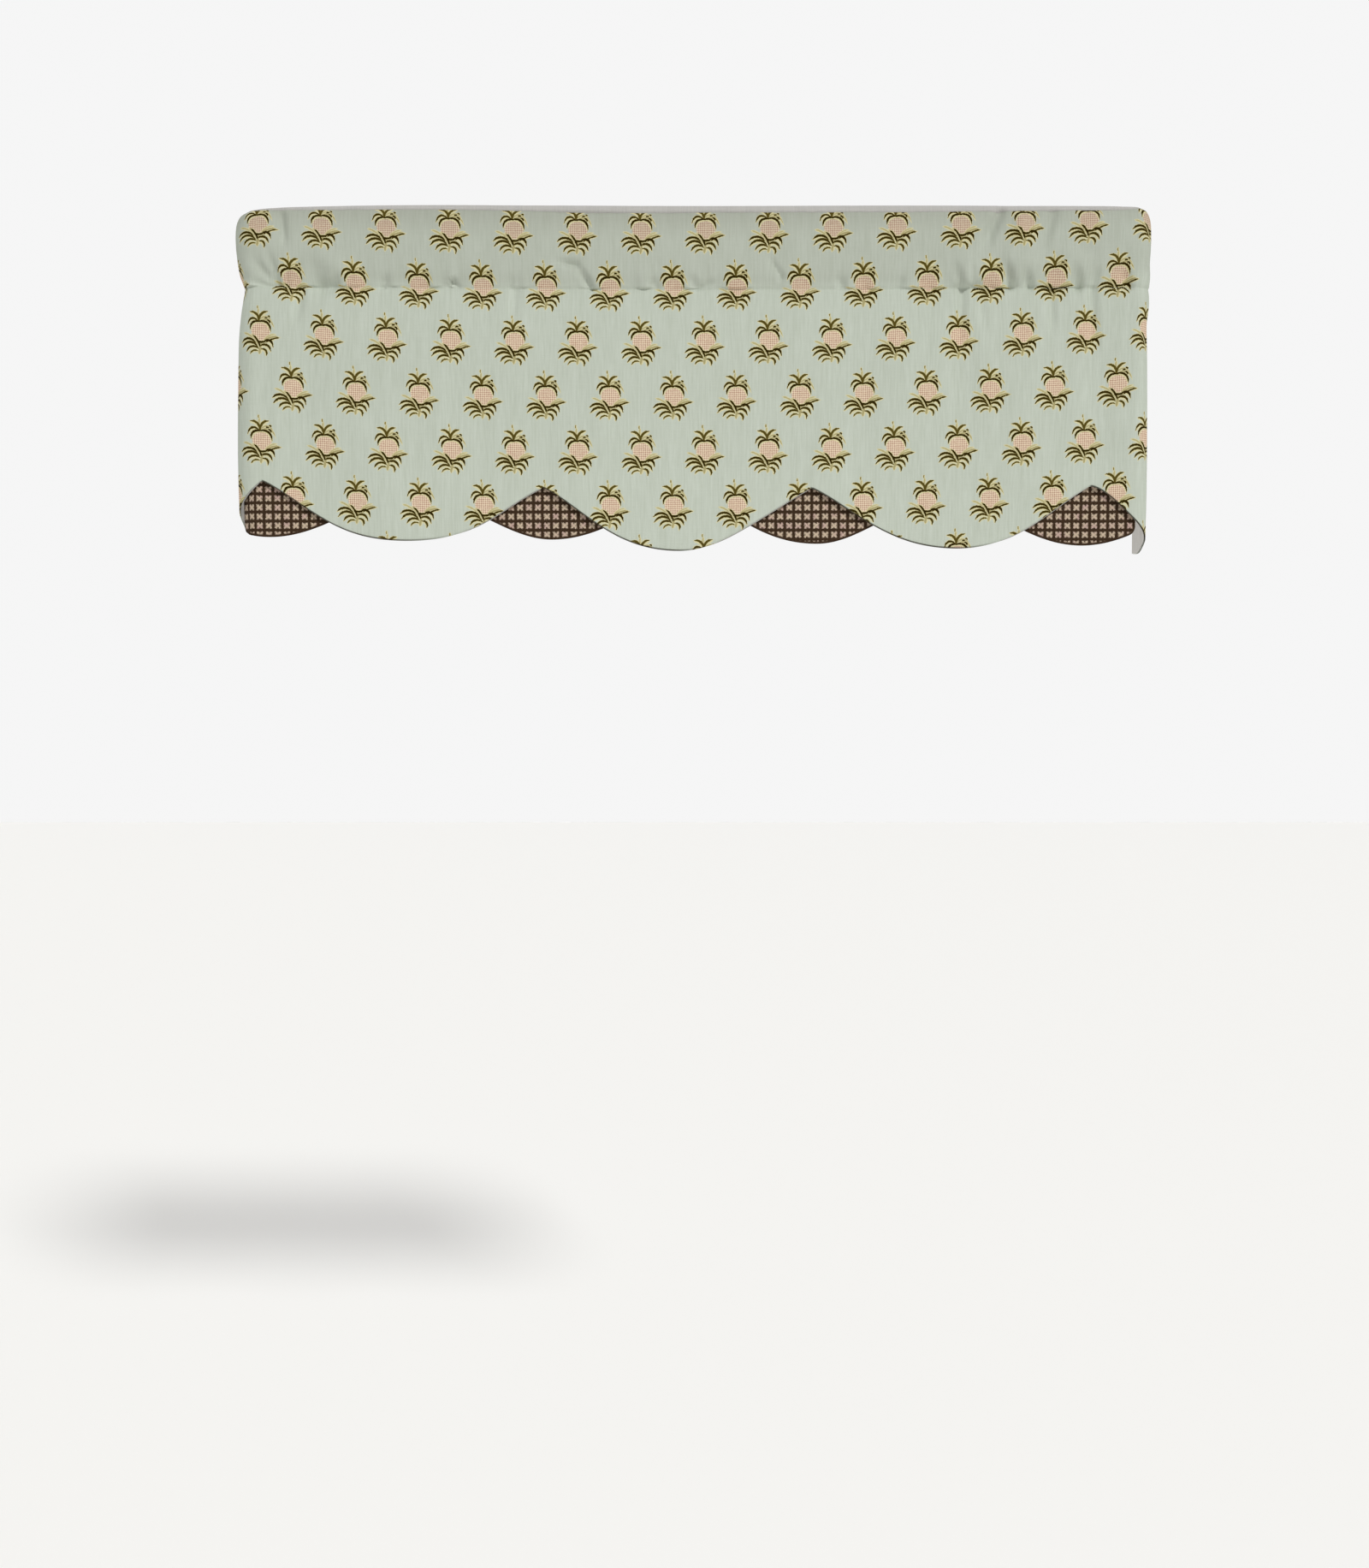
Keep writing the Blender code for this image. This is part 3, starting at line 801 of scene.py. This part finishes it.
def leaf_inks(tree, x, y):
    """How much cream ink and how much dark ink lies at a place in the sprig. Three leaves are drawn at a
    time, one in each number of a vector."""
    xs = add_node(tree, "ShaderNodeCombineXYZ", [x, x, x])
    ys = add_node(tree, "ShaderNodeCombineXYZ", [y, y, y])
    creams = []
    darks = []
    for first in range(0, len(SPRIG), 3):
        leaves = SPRIG[first : first + 3]
        runs = [(leaf.to_x - leaf.from_x, leaf.to_y - leaf.from_y) for leaf in leaves]
        sizes = [math.hypot(*run) for run in runs]
        onwards = [(run[0] / size**2, run[1] / size**2) for run, size in zip(runs, sizes)]
        signs = [math.copysign(1 / size, run[0]) for run, size in zip(runs, sizes)]
        upwards = [(-run[1] * sign, run[0] * sign) for run, sign in zip(runs, signs)]
        along = from_starts(tree, xs, ys, leaves, onwards)
        above = from_starts(tree, xs, ys, leaves, upwards)

        # The arch is 0 at both tips of a leaf and 1 in its middle. It bows the leaf and tapers its tips.
        left = vector_maths(tree, "MULTIPLY_ADD", along, [-4] * 3, [4] * 3)
        arch = vector_maths(tree, "MULTIPLY", along, left)
        above = vector_maths(tree, "MULTIPLY_ADD", arch, [-leaf.rise for leaf in leaves], above)
        taper = vector_maths(tree, "MINIMUM", arch, [0.5] * 3)
        away = vector_maths(tree, "ABSOLUTE", above)
        outside = vector_maths(tree, "MULTIPLY_ADD", taper, [-2 * leaf.half_width for leaf in leaves],
                               away)

        cream, dark, upper = [
            add_node(tree, "ShaderNodeMapRange",
                     {VALUES: distance, RANGE_FROM: [edge[0]] * 3, RANGE_TO: [edge[1]] * 3,
                      HIGHEST: highest},
                     data_type="FLOAT_VECTOR", interpolation_type="SMOOTHSTEP")
            for distance, edge, highest in (
                (outside, CREAM_EDGE, [CREAM_COVER] * 3),
                (outside, DARK_EDGE, [1] * 3),
                (above, DARK_UNDERSIDE, [leaf.dark for leaf in leaves]),
            )
        ]
        creams.append(cream)
        darks.append(vector_maths(tree, "MULTIPLY", dark, upper))

    inks = []
    for layers in (creams, darks):
        most = layers[0]
        for layer in layers[1:]:
            most = vector_maths(tree, "MAXIMUM", most, layer)
        first, second, third = parts_of(tree, most)
        most = maths(tree, "MAXIMUM", first, second)
        inks.append(maths(tree, "MAXIMUM", most, third))
    return inks


# The fruit is an oval, a little narrower at its foot, of pale ink under a net of pink dots.
FRUIT_RADII = (12.1, 12.3)
FRUIT_WIDENS = 0.010  # share of its width for each millimetre upwards
FRUIT_EDGE = (1.04, 0.96)  # shares of its radius between which its ink sets in
NET_WAVE = 1.15  # radians in each millimetre, which puts the dots 2.7 mm apart
NET_TONES = (-0.5, 0.6)  # height of the wave where there is no pink ink, and where there is most


def fruit_inks(tree, x, y):
    """Where the fruit's ink lies, and its colour."""
    narrower = maths(tree, "MULTIPLY_ADD", y, -FRUIT_WIDENS, 1.0)
    across = maths(tree, "MULTIPLY", narrower, x)
    oval = add_node(tree, "ShaderNodeCombineXYZ", [across, y, 0.0])
    oval = vector_maths(tree, "MULTIPLY", oval, (1 / FRUIT_RADII[0], 1 / FRUIT_RADII[1], 0))
    oval = vector_maths(tree, "LENGTH", oval)
    fruit = ramp(tree, oval, *FRUIT_EDGE)

    waves = []
    for slant in ("ADD", "SUBTRACT"):
        wave = maths(tree, slant, x, y)
        wave = maths(tree, "MULTIPLY", wave, NET_WAVE)
        waves.append(maths(tree, "SINE", wave))
    net = maths(tree, "MULTIPLY", *waves)
    net = ramp(tree, net, *NET_TONES)
    colour = mixed(tree, net, "#DECDB2", "#AD8875")
    return fruit, colour


# Painted shade on the pocket's front and on its rounded top, which darkens the pocket and most of all its
# top: the heights above the stitches where it begins and is strongest, and how much it darkens there.
FRONT_PAINTED_SHADE = (-0.006, 0.014, 0, 0.17)
TOP_PAINTED_SHADE = (0.055, 0.108, 0, 0.30)

# Painted shade along the face's hem, a dark line that is strongest where the hem runs down to the right:
# how dark it is by the height above the folded edge, and how much of that shows by the hem's climb to the
# right.
HEM_SHADE_LINE = (0.0024, 0.0012, 0, 0.90)
HEM_SHADE_SLOPES = (0.30, -0.05, 0.10, 1)


# Painted shade: darkens the pocket's front, and its rounded top most of all.
def painted_pocket_shade(tree):
    height = parts_of(tree, uv_place(tree, "flat"))[1]
    layers = [
        ramp(tree, height, *shade_band, interpolation_type="SMOOTHSTEP")
        for shade_band in (FRONT_PAINTED_SHADE, TOP_PAINTED_SHADE)
    ]
    return maths(tree, "ADD", *layers)


# Painted shade: a dark line along the face's hem, strongest where the hem runs down to the right.
def painted_hem_shade(tree):
    climb, height = parts_of(tree, uv_place(tree, "above hem"))[:2]
    line = ramp(tree, height, *HEM_SHADE_LINE)
    falling = ramp(tree, climb, *HEM_SHADE_SLOPES)
    return maths(tree, "MULTIPLY", line, falling)


def printed_cotton():
    """Slub cotton, screen-printed with matt pigment: the sprigs take the cloth's own texture."""
    material, tree, shader = new_material("screen-printed slub cotton", 0.9, 0.06)
    millimetres = flat_millimetres(tree, (-FIRST_SPRIG[0], -FIRST_SPRIG[1], 0))
    colour, threads = cotton_ground(tree, millimetres, "#BFC6BA", "#B0B7A9")
    x, y = sprig_place(tree, millimetres)
    fruit, fruit_colour = fruit_inks(tree, x, y)
    cream_ink, dark_ink = leaf_inks(tree, x, y)
    # The dark ink is olive where it is thin and nearly black where it lies thick.
    olive = ramp(tree, dark_ink, 0, 0.5)
    black = ramp(tree, dark_ink, 0.45, 1.0)

    # From the cloth upwards. The painted shade of the pocket goes on before the leaves, so that it doesn't
    # darken them.
    for share, over in (
        (fruit, fruit_colour),
        # painted shade: darker grey over the pocket, strongest at its top
        (painted_pocket_shade(tree), "#7F7C70"),
        (cream_ink, "#CFC799"),
        (olive, "#7C6E30"),
        (black, "#271D00"),
        # painted shade: a dark line along the hem where it runs down to the right
        (painted_hem_shade(tree), "#332E24"),
    ):
        colour = mixed(tree, share, colour, over)
    finish_weave(tree, shader, colour, threads, 0.5, 0.0003)
    return material


def plain_cotton(name, colour, shade):
    """Slub cotton without a print, washed soft and matt: the back of the printed cloth, and the lining."""
    material, tree, shader = new_material(name, 0.9, 0.25)
    ground, threads = cotton_ground(tree, flat_millimetres(tree), colour, shade)
    finish_weave(tree, shader, ground, threads, 0.5, 0.0003)
    return material


face = hang_cloth(
    "printed_cotton_panel",
    PLACES,
    len(FRONT_WALL_SHARES) + len(HANGING_SHARES) - 2,
    face_point,
    FACE_THICKNESS,
)
face.data.materials.append(printed_cotton())
face.data.materials.append(plain_cotton("reverse of the slub cotton", "#C3C9BE", "#B9BFB2"))
face.modifiers["thickness of the cloth"].material_offset = 1
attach(face, "root")
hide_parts("printed_face")


# The row of stitches under the pocket: one thread of pale green polyester, sewn by machine through the
# face and the lining at about three stitches to the centimetre.

STITCH_PITCH = 0.0031
STITCH_LENGTH = 0.0024
THREAD_RADIUS = 0.00022
ROW_INSET = 0.006  # from the back edge of each return
THREAD_LOW = 0.0002  # how far the thread lies under the line in which it is sewn


def sew_stitches():
    row = bmesh.new()
    for s in spaced(-HALF_FLAT + ROW_INSET, HALF_FLAT - ROW_INSET, STITCH_PITCH):
        start, end = [
            Vector(hanging_point(place, stitch_line(place) + THREAD_LOW, -FACE_THICKNESS / 2))
            for place in (s - STITCH_LENGTH / 2, s + STITCH_LENGTH / 2)
        ]
        thread = bmesh.ops.create_uvsphere(row, u_segments=6, v_segments=5, radius=THREAD_RADIUS)
        for vertex in thread["verts"]:
            vertex.co.z *= STITCH_LENGTH / 2 / THREAD_RADIUS
        turn = (end - start).to_track_quat("Z", "Y").to_matrix()
        bmesh.ops.rotate(row, cent=(0, 0, 0), matrix=turn, verts=thread["verts"])
        bmesh.ops.translate(row, vec=(start + end) / 2, verts=thread["verts"])
    return as_piece("stitch_row", row)


def spun_polyester():
    """Sewing thread: a slight silky shine, and a twist that shows as fine slanting bands."""
    material, tree, shader = new_material("spun polyester thread", 0.6)
    where = add_node(tree, "ShaderNodeTexCoord", {})
    # The twist turns once in 0.5 mm; one turn in 1 mm shows better.
    twist = add_node(tree, "ShaderNodeTexWave", {"Vector": where.outputs["Object"], "Scale": 160},
                     bands_direction="DIAGONAL")
    colour = mixed(tree, twist.outputs["Fac"], "#A9B2A0", "#BAC2B0")
    tree.links.new(colour.outputs[2], shader.inputs["Base Color"])
    return material


stitches = sew_stitches()
stitches.data.materials.append(spun_polyester())
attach(stitches, "root")


# The lining: one panel of plain cream cotton behind the whole face. It rolls over the top, where a strip
# of it shows above the print, and is the back wall of the pocket. It is sewn to the face along the top
# and the hem, and hangs a millimetre below the face where the hem climbs to the right.

LAYER_STEP = 0.0016  # middle of one cloth to the middle of the cloth behind it
LINING_THICKNESS = 0.0006
LINING_SHORTER = 0.0005  # than the face, where it doesn't show
LINING_PEEKS = 0.0016  # how much lower it hangs where it shows
PEEK_SLOPES = (0.20, 0.55)  # how steep the hem is where the lining begins to show, and shows most
TUCK = 0.0045  # how far it runs on behind the face at the top seam
TUCK_DEPTH = 0.0011
TUCK_BEND = 0.0028  # how far above the seam it starts to turn behind the face

# Rows as shares of the way from the tucked edge to the stitches, closest where the lining is tucked.
BACK_WALL_SHARES = in_steps(0, 0.09, 9) + in_steps(0.11, 1, 34)


def lining_hem(s):
    """The face's hem, a little shorter, and longer where it peeks out under a slope."""
    hem = hem_drop(FACE_HEM, s)
    climb = (hem_drop(FACE_HEM, s - 0.004) - hem_drop(FACE_HEM, s + 0.004)) / 0.008
    return hem - LINING_SHORTER + LINING_PEEKS * smooth_step(climb, *PEEK_SLOPES)


def lining_point(s, row):
    """Row 0 is tucked behind the face. From there the lining rolls over the top and down the back."""
    if row < len(BACK_WALL_SHARES):
        start = seam_length(s) - TUCK
        length = start + BACK_WALL_SHARES[row] * (pocket_lengths[-1] - start)
        tucked = TUCK_DEPTH + seam_groove(s, seam_length(s))
        sunk = tucked * smooth_step(length, seam_length(s) + TUCK_BEND, seam_length(s))
        return pocket_point(s, length, sunk), (s, length)
    share = HANGING_SHARES[row - len(BACK_WALL_SHARES) + 1]
    under = share * (lining_hem(s) - stitch_line(s))
    return hanging_point(s, stitch_line(s) + under, LAYER_STEP), (s, pocket_lengths[-1] + under)


lining = hang_cloth(
    "cream_cotton_panel",
    PLACES,
    len(BACK_WALL_SHARES) + len(HANGING_SHARES) - 2,
    lining_point,
    LINING_THICKNESS,
)
lining.data.materials.append(plain_cotton("plain woven cream cotton", "#BBB9B4", "#ADABA7"))
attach(lining, "root")
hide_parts("cream_lining")


# The underlay: a panel of brown and tan checked cotton with its own scallops, caught in the row of
# stitches and hanging free behind the lining, so that it shows in the gaps between the face's scallops.

UNDERLAY_TOP = 0.0035  # the underlay starts this far under the row of stitches
UNDERLAY_BEHIND = 0.0035  # middle of the face to the middle of the underlay, at the stitches
UNDERLAY_SWING = 0.0026  # how much further back the underlay hangs from its middle down
UNDERLAY_THICKNESS = 0.0011
UNDERLAY_LEFT = -0.600
UNDERLAY_RIGHT = 0.574
UNDERLAY_LEFT_ROUNDING = 0.022
UNDERLAY_RIGHT_ROUNDING = 0.008

UNDERLAY_HEM = rows_of(HemPoint, [
    (-0.7170, 0.3460, 1.15, 0.000),
    (-0.5470, 0.4179, 1.15, -0.030),
    (-0.3650, 0.3470, 1.15, -0.080),
    (-0.1825, 0.4212, 1.15, 0.000),
    (-0.0110, 0.3500, 1.15, 0.030),
    (0.1600, 0.4266, 1.15, -0.080),
    (0.3310, 0.3540, 1.15, 0.000),
    (0.5026, 0.4288, 1.15, 0.000),
    (0.6735, 0.3550, 1.15, 0.000),
])
UNDERLAY_SHARES = in_steps(0, 1, 76)
ROUNDING_SHARES = (0, 0.04, 0.14, 0.32, 0.6)  # closer columns towards each rounded corner


def underlay_hem(s):
    """The underlay's hem, rounded off at its two lower corners."""
    hem = hem_drop(UNDERLAY_HEM, s)
    for end, radius in (
        (UNDERLAY_LEFT, UNDERLAY_LEFT_ROUNDING),
        (UNDERLAY_RIGHT, UNDERLAY_RIGHT_ROUNDING),
    ):
        inside = min(abs(s - end) / radius, 1)
        hem -= radius * (1 - math.sqrt(1 - (1 - inside) ** 2))
    return hem


def underlay_point(s, row):
    top = stitch_line(s) + UNDERLAY_TOP
    share = UNDERLAY_SHARES[row]
    behind = UNDERLAY_BEHIND + UNDERLAY_SWING * smooth_step(share, 0, 0.5)
    drop = top + share * (underlay_hem(s) - top)
    return hanging_point(s, drop, behind), (s, -drop)


def underlay_places():
    left = [UNDERLAY_LEFT + UNDERLAY_LEFT_ROUNDING * share for share in ROUNDING_SHARES]
    right = [UNDERLAY_RIGHT - UNDERLAY_RIGHT_ROUNDING * share for share in reversed(ROUNDING_SHARES)]
    middle = spaced(
        UNDERLAY_LEFT + UNDERLAY_LEFT_ROUNDING, UNDERLAY_RIGHT - UNDERLAY_RIGHT_ROUNDING, GRID
    )
    return left + middle + right


# The check, in millimetres.
CHECK_PITCH = 11.6  # from one square to the next
SQUARE = 7.5  # side of a tan square; the rest of the pitch is the brown band
FIRST_SQUARE = (-3.4, 2.75)  # middle of a square, from the cloth's middle and its top
SQUARE_BLUR = 0.5  # how far a square's edge fades to either side
BITE_WIDENS = 0.75  # half width that a wedge gains for each millimetre away from its square's middle
BITE_NARROWER = 1.1  # how much less than that its half width is
BITE_BLUR = (-0.4, 0.5)
THREAD_PITCH = 1.45  # the real threads are 0.7 mm apart; they are drawn twice as coarse, so that they show
WEFT_RIBS = 0.5  # beside the warp's 1
FUZZ = 2.4
THREAD_TONES = (-0.3, 2.7)  # height of the threads where they are darkest and where they are palest
FIBRE_BLUR = 3.2  # loose fibres blur the pattern's edges by about half a thread
PINK_BLOTCHES = (0.45, 0.75)
HEM_BAND = (0.0040, 0.0022)  # metres above the hem between which the pattern ends in plain brown


def blunt_stars(tree, woven):
    """Where the tan is: squares, with wedges of brown bitten out of the middle of each one's top and
    bottom, and fainter ones at its sides."""
    away = []
    for axis in parts_of(tree, woven)[:2]:
        inside = maths(tree, "WRAP", axis, CHECK_PITCH / 2, -CHECK_PITCH / 2)
        away.append(maths(tree, "ABSOLUTE", inside))
    stripes = [
        ramp(tree, side, SQUARE / 2 + SQUARE_BLUR, SQUARE / 2 - SQUARE_BLUR,
             interpolation_type="SMOOTHSTEP")
        for side in away
    ]
    star = maths(tree, "MULTIPLY", *stripes)
    for across, out, depth in ((away[0], away[1], 0.92), (away[1], away[0], 0.55)):
        wedge = maths(tree, "MULTIPLY_ADD", out, BITE_WIDENS, -BITE_NARROWER)
        wedge = maths(tree, "SUBTRACT", wedge, across)
        wedge = ramp(tree, wedge, *BITE_BLUR, 0, depth)
        uncut = maths(tree, "SUBTRACT", 1, wedge)
        star = maths(tree, "MULTIPLY", star, uncut)
    return star


def thread_heights(tree, millimetres, fuzz):
    """The ribs of single threads both ways, made uneven by their fuzz."""
    ribs = []
    for axis in parts_of(tree, millimetres)[:2]:
        rib = maths(tree, "MULTIPLY", axis, 2 * math.pi / THREAD_PITCH)
        ribs.append(maths(tree, "SINE", rib))
    threads = maths(tree, "MULTIPLY_ADD", ribs[1], WEFT_RIBS, ribs[0])
    return maths(tree, "MULTIPLY_ADD", fuzz, FUZZ, threads)


def checked_cotton():
    """Heavy cotton woven in brown and tan: where the brown threads cross the tan ones they bite into
    each square's sides, so that it looks like a small blunt star. Both sides look the same."""
    material, tree, shader = new_material("yarn-dyed checked cotton", 0.95, 0.12)
    millimetres = flat_millimetres(tree, (-FIRST_SQUARE[0], -FIRST_SQUARE[1], 0))
    woven, fuzz = wandering(tree, millimetres, 0.8, 2, FIBRE_BLUR)
    star = blunt_stars(tree, woven)
    threads = thread_heights(tree, millimetres, fuzz)

    # Single threads are lighter and darker, and some of the tan is a little pinker.
    light = ramp(tree, threads, *THREAD_TONES)
    blotch = flat_noise(tree, millimetres, 0.07, 1)
    pinkish = ramp(tree, blotch, *PINK_BLOTCHES)
    dark_tan = mixed(tree, pinkish, "#AE9780", "#A88C80")
    light_tan = mixed(tree, pinkish, "#DCCBB2", "#D4B8AC")
    tan = mixed(tree, light, dark_tan, light_tan)
    brown = mixed(tree, light, "#1E140B", "#4F3B29")
    colour = mixed(tree, star, brown, tan)

    # The pattern ends in plain brown along the last few millimetres above the hem.
    height = parts_of(tree, uv_place(tree, "above hem"))[1]
    edge = ramp(tree, height, *HEM_BAND)
    colour = mixed(tree, edge, colour, brown)
    finish_weave(tree, shader, colour, threads, 0.6, 0.0004)
    return material


underlay = hang_cloth(
    "checked_cotton_panel",
    underlay_places(),
    len(UNDERLAY_SHARES) - 1,
    underlay_point,
    UNDERLAY_THICKNESS,
)
underlay.data.materials.append(checked_cotton())
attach(underlay, "root")
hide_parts("check_underlay")


# The studio: a pale floor 2.1 m under the pocket, white surroundings, one lamp high up to the front right
# and so far off that its light is even, and weak ones low in front and behind on the left.

FLOOR_DROP = 2.1
FLOOR_SIZE = 30.0
FACE_MIDDLE = (0, 0, -0.22)
HEM_MIDDLE = (0, 0, -0.38)


def lay_floor():
    ground = bmesh.new()
    bmesh.ops.create_grid(ground, x_segments=1, y_segments=1, size=FLOOR_SIZE / 2)
    bmesh.ops.translate(ground, vec=(0, 0, -FLOOR_DROP), verts=ground.verts)
    piece = as_piece("pale_floor", ground)
    material, _, shader = new_material("matt pale floor", 0.9)
    shader.inputs["Base Color"].default_value = linear("#EFEEEB")
    piece.data.materials.append(material)
    return piece


def hang_lamp(name, kind, place, aim, strength):
    lamp = bpy.data.lights.new(name, kind)
    lamp.energy = strength
    piece = bpy.data.objects.new(name, lamp)
    piece.location = place
    piece.rotation_euler = (Vector(aim) - Vector(place)).to_track_quat("-Z", "Y").to_euler()
    piece.visible_camera = False
    bpy.context.scene.collection.objects.link(piece)
    return lamp


lay_floor()
far_lamp = hang_lamp("far lamp", "SUN", place=(1.35, -2.5, 2.0), aim=FACE_MIDDLE, strength=2.06)
far_lamp.angle = math.radians(9)
low_lamp = hang_lamp("low lamp", "AREA", place=(0.1, -1.0, -0.75), aim=HEM_MIDDLE, strength=1.7)
low_lamp.shape = "RECTANGLE"
low_lamp.size = 1.2
low_lamp.size_y = 0.3
back_lamp = hang_lamp("back lamp", "SUN", place=(-2.5, 1.0, 0.15), aim=FACE_MIDDLE, strength=0.8)
back_lamp.angle = math.radians(20)


def white_room():
    """White surroundings, which give most light behind the valance and overhead, and less in front. The
    camera sees them evenly white."""
    dim = 0.12
    white = 0.92
    overhead = 0.75
    room = bpy.data.worlds.new("white room")
    room.use_nodes = True
    tree = room.node_tree
    where = add_node(tree, "ShaderNodeTexCoord", {})
    _, backwards, upwards = parts_of(tree, where.outputs["Generated"])
    behind = ramp(tree, backwards, -0.25, 0.5, dim, white)
    above = ramp(tree, upwards, 0.45, 0.95, dim, overhead)
    light = maths(tree, "MAXIMUM", behind, above)
    path = add_node(tree, "ShaderNodeLightPath", {})
    seen = maths(tree, "MULTIPLY", path.outputs["Is Camera Ray"], white)
    light = maths(tree, "MAXIMUM", light, seen)
    background = tree.nodes["Background"]
    tree.links.new(light.outputs[0], background.inputs["Strength"])
    background.inputs["Color"].default_value = linear("#FFFFFF")
    return room


bpy.context.scene.world = white_room()
bpy.context.scene.view_settings.view_transform = "Standard"


# The camera stands 1.9 m in front of the valance and 0.6 m below its top, and looks down by 3.5 degrees,
# as the photograph was taken.

CAMERA_PLACE = (-0.0112, -1.901, -0.6218)
CAMERA_TILT = math.radians(86.5)
IMAGE_HEIGHT = 1832  # pixels of the whole frame, on its long side
FOCAL_LENGTH = 1700  # in the same pixels
SENSOR = 36.0

lens = bpy.data.cameras.new("photograph")
lens.sensor_width = SENSOR
lens.lens = FOCAL_LENGTH / IMAGE_HEIGHT * SENSOR
camera = bpy.data.objects.new("photograph", lens)
camera.location = CAMERA_PLACE
camera.rotation_euler = (CAMERA_TILT, 0, 0)
bpy.context.scene.collection.objects.link(camera)
bpy.context.scene.camera = camera
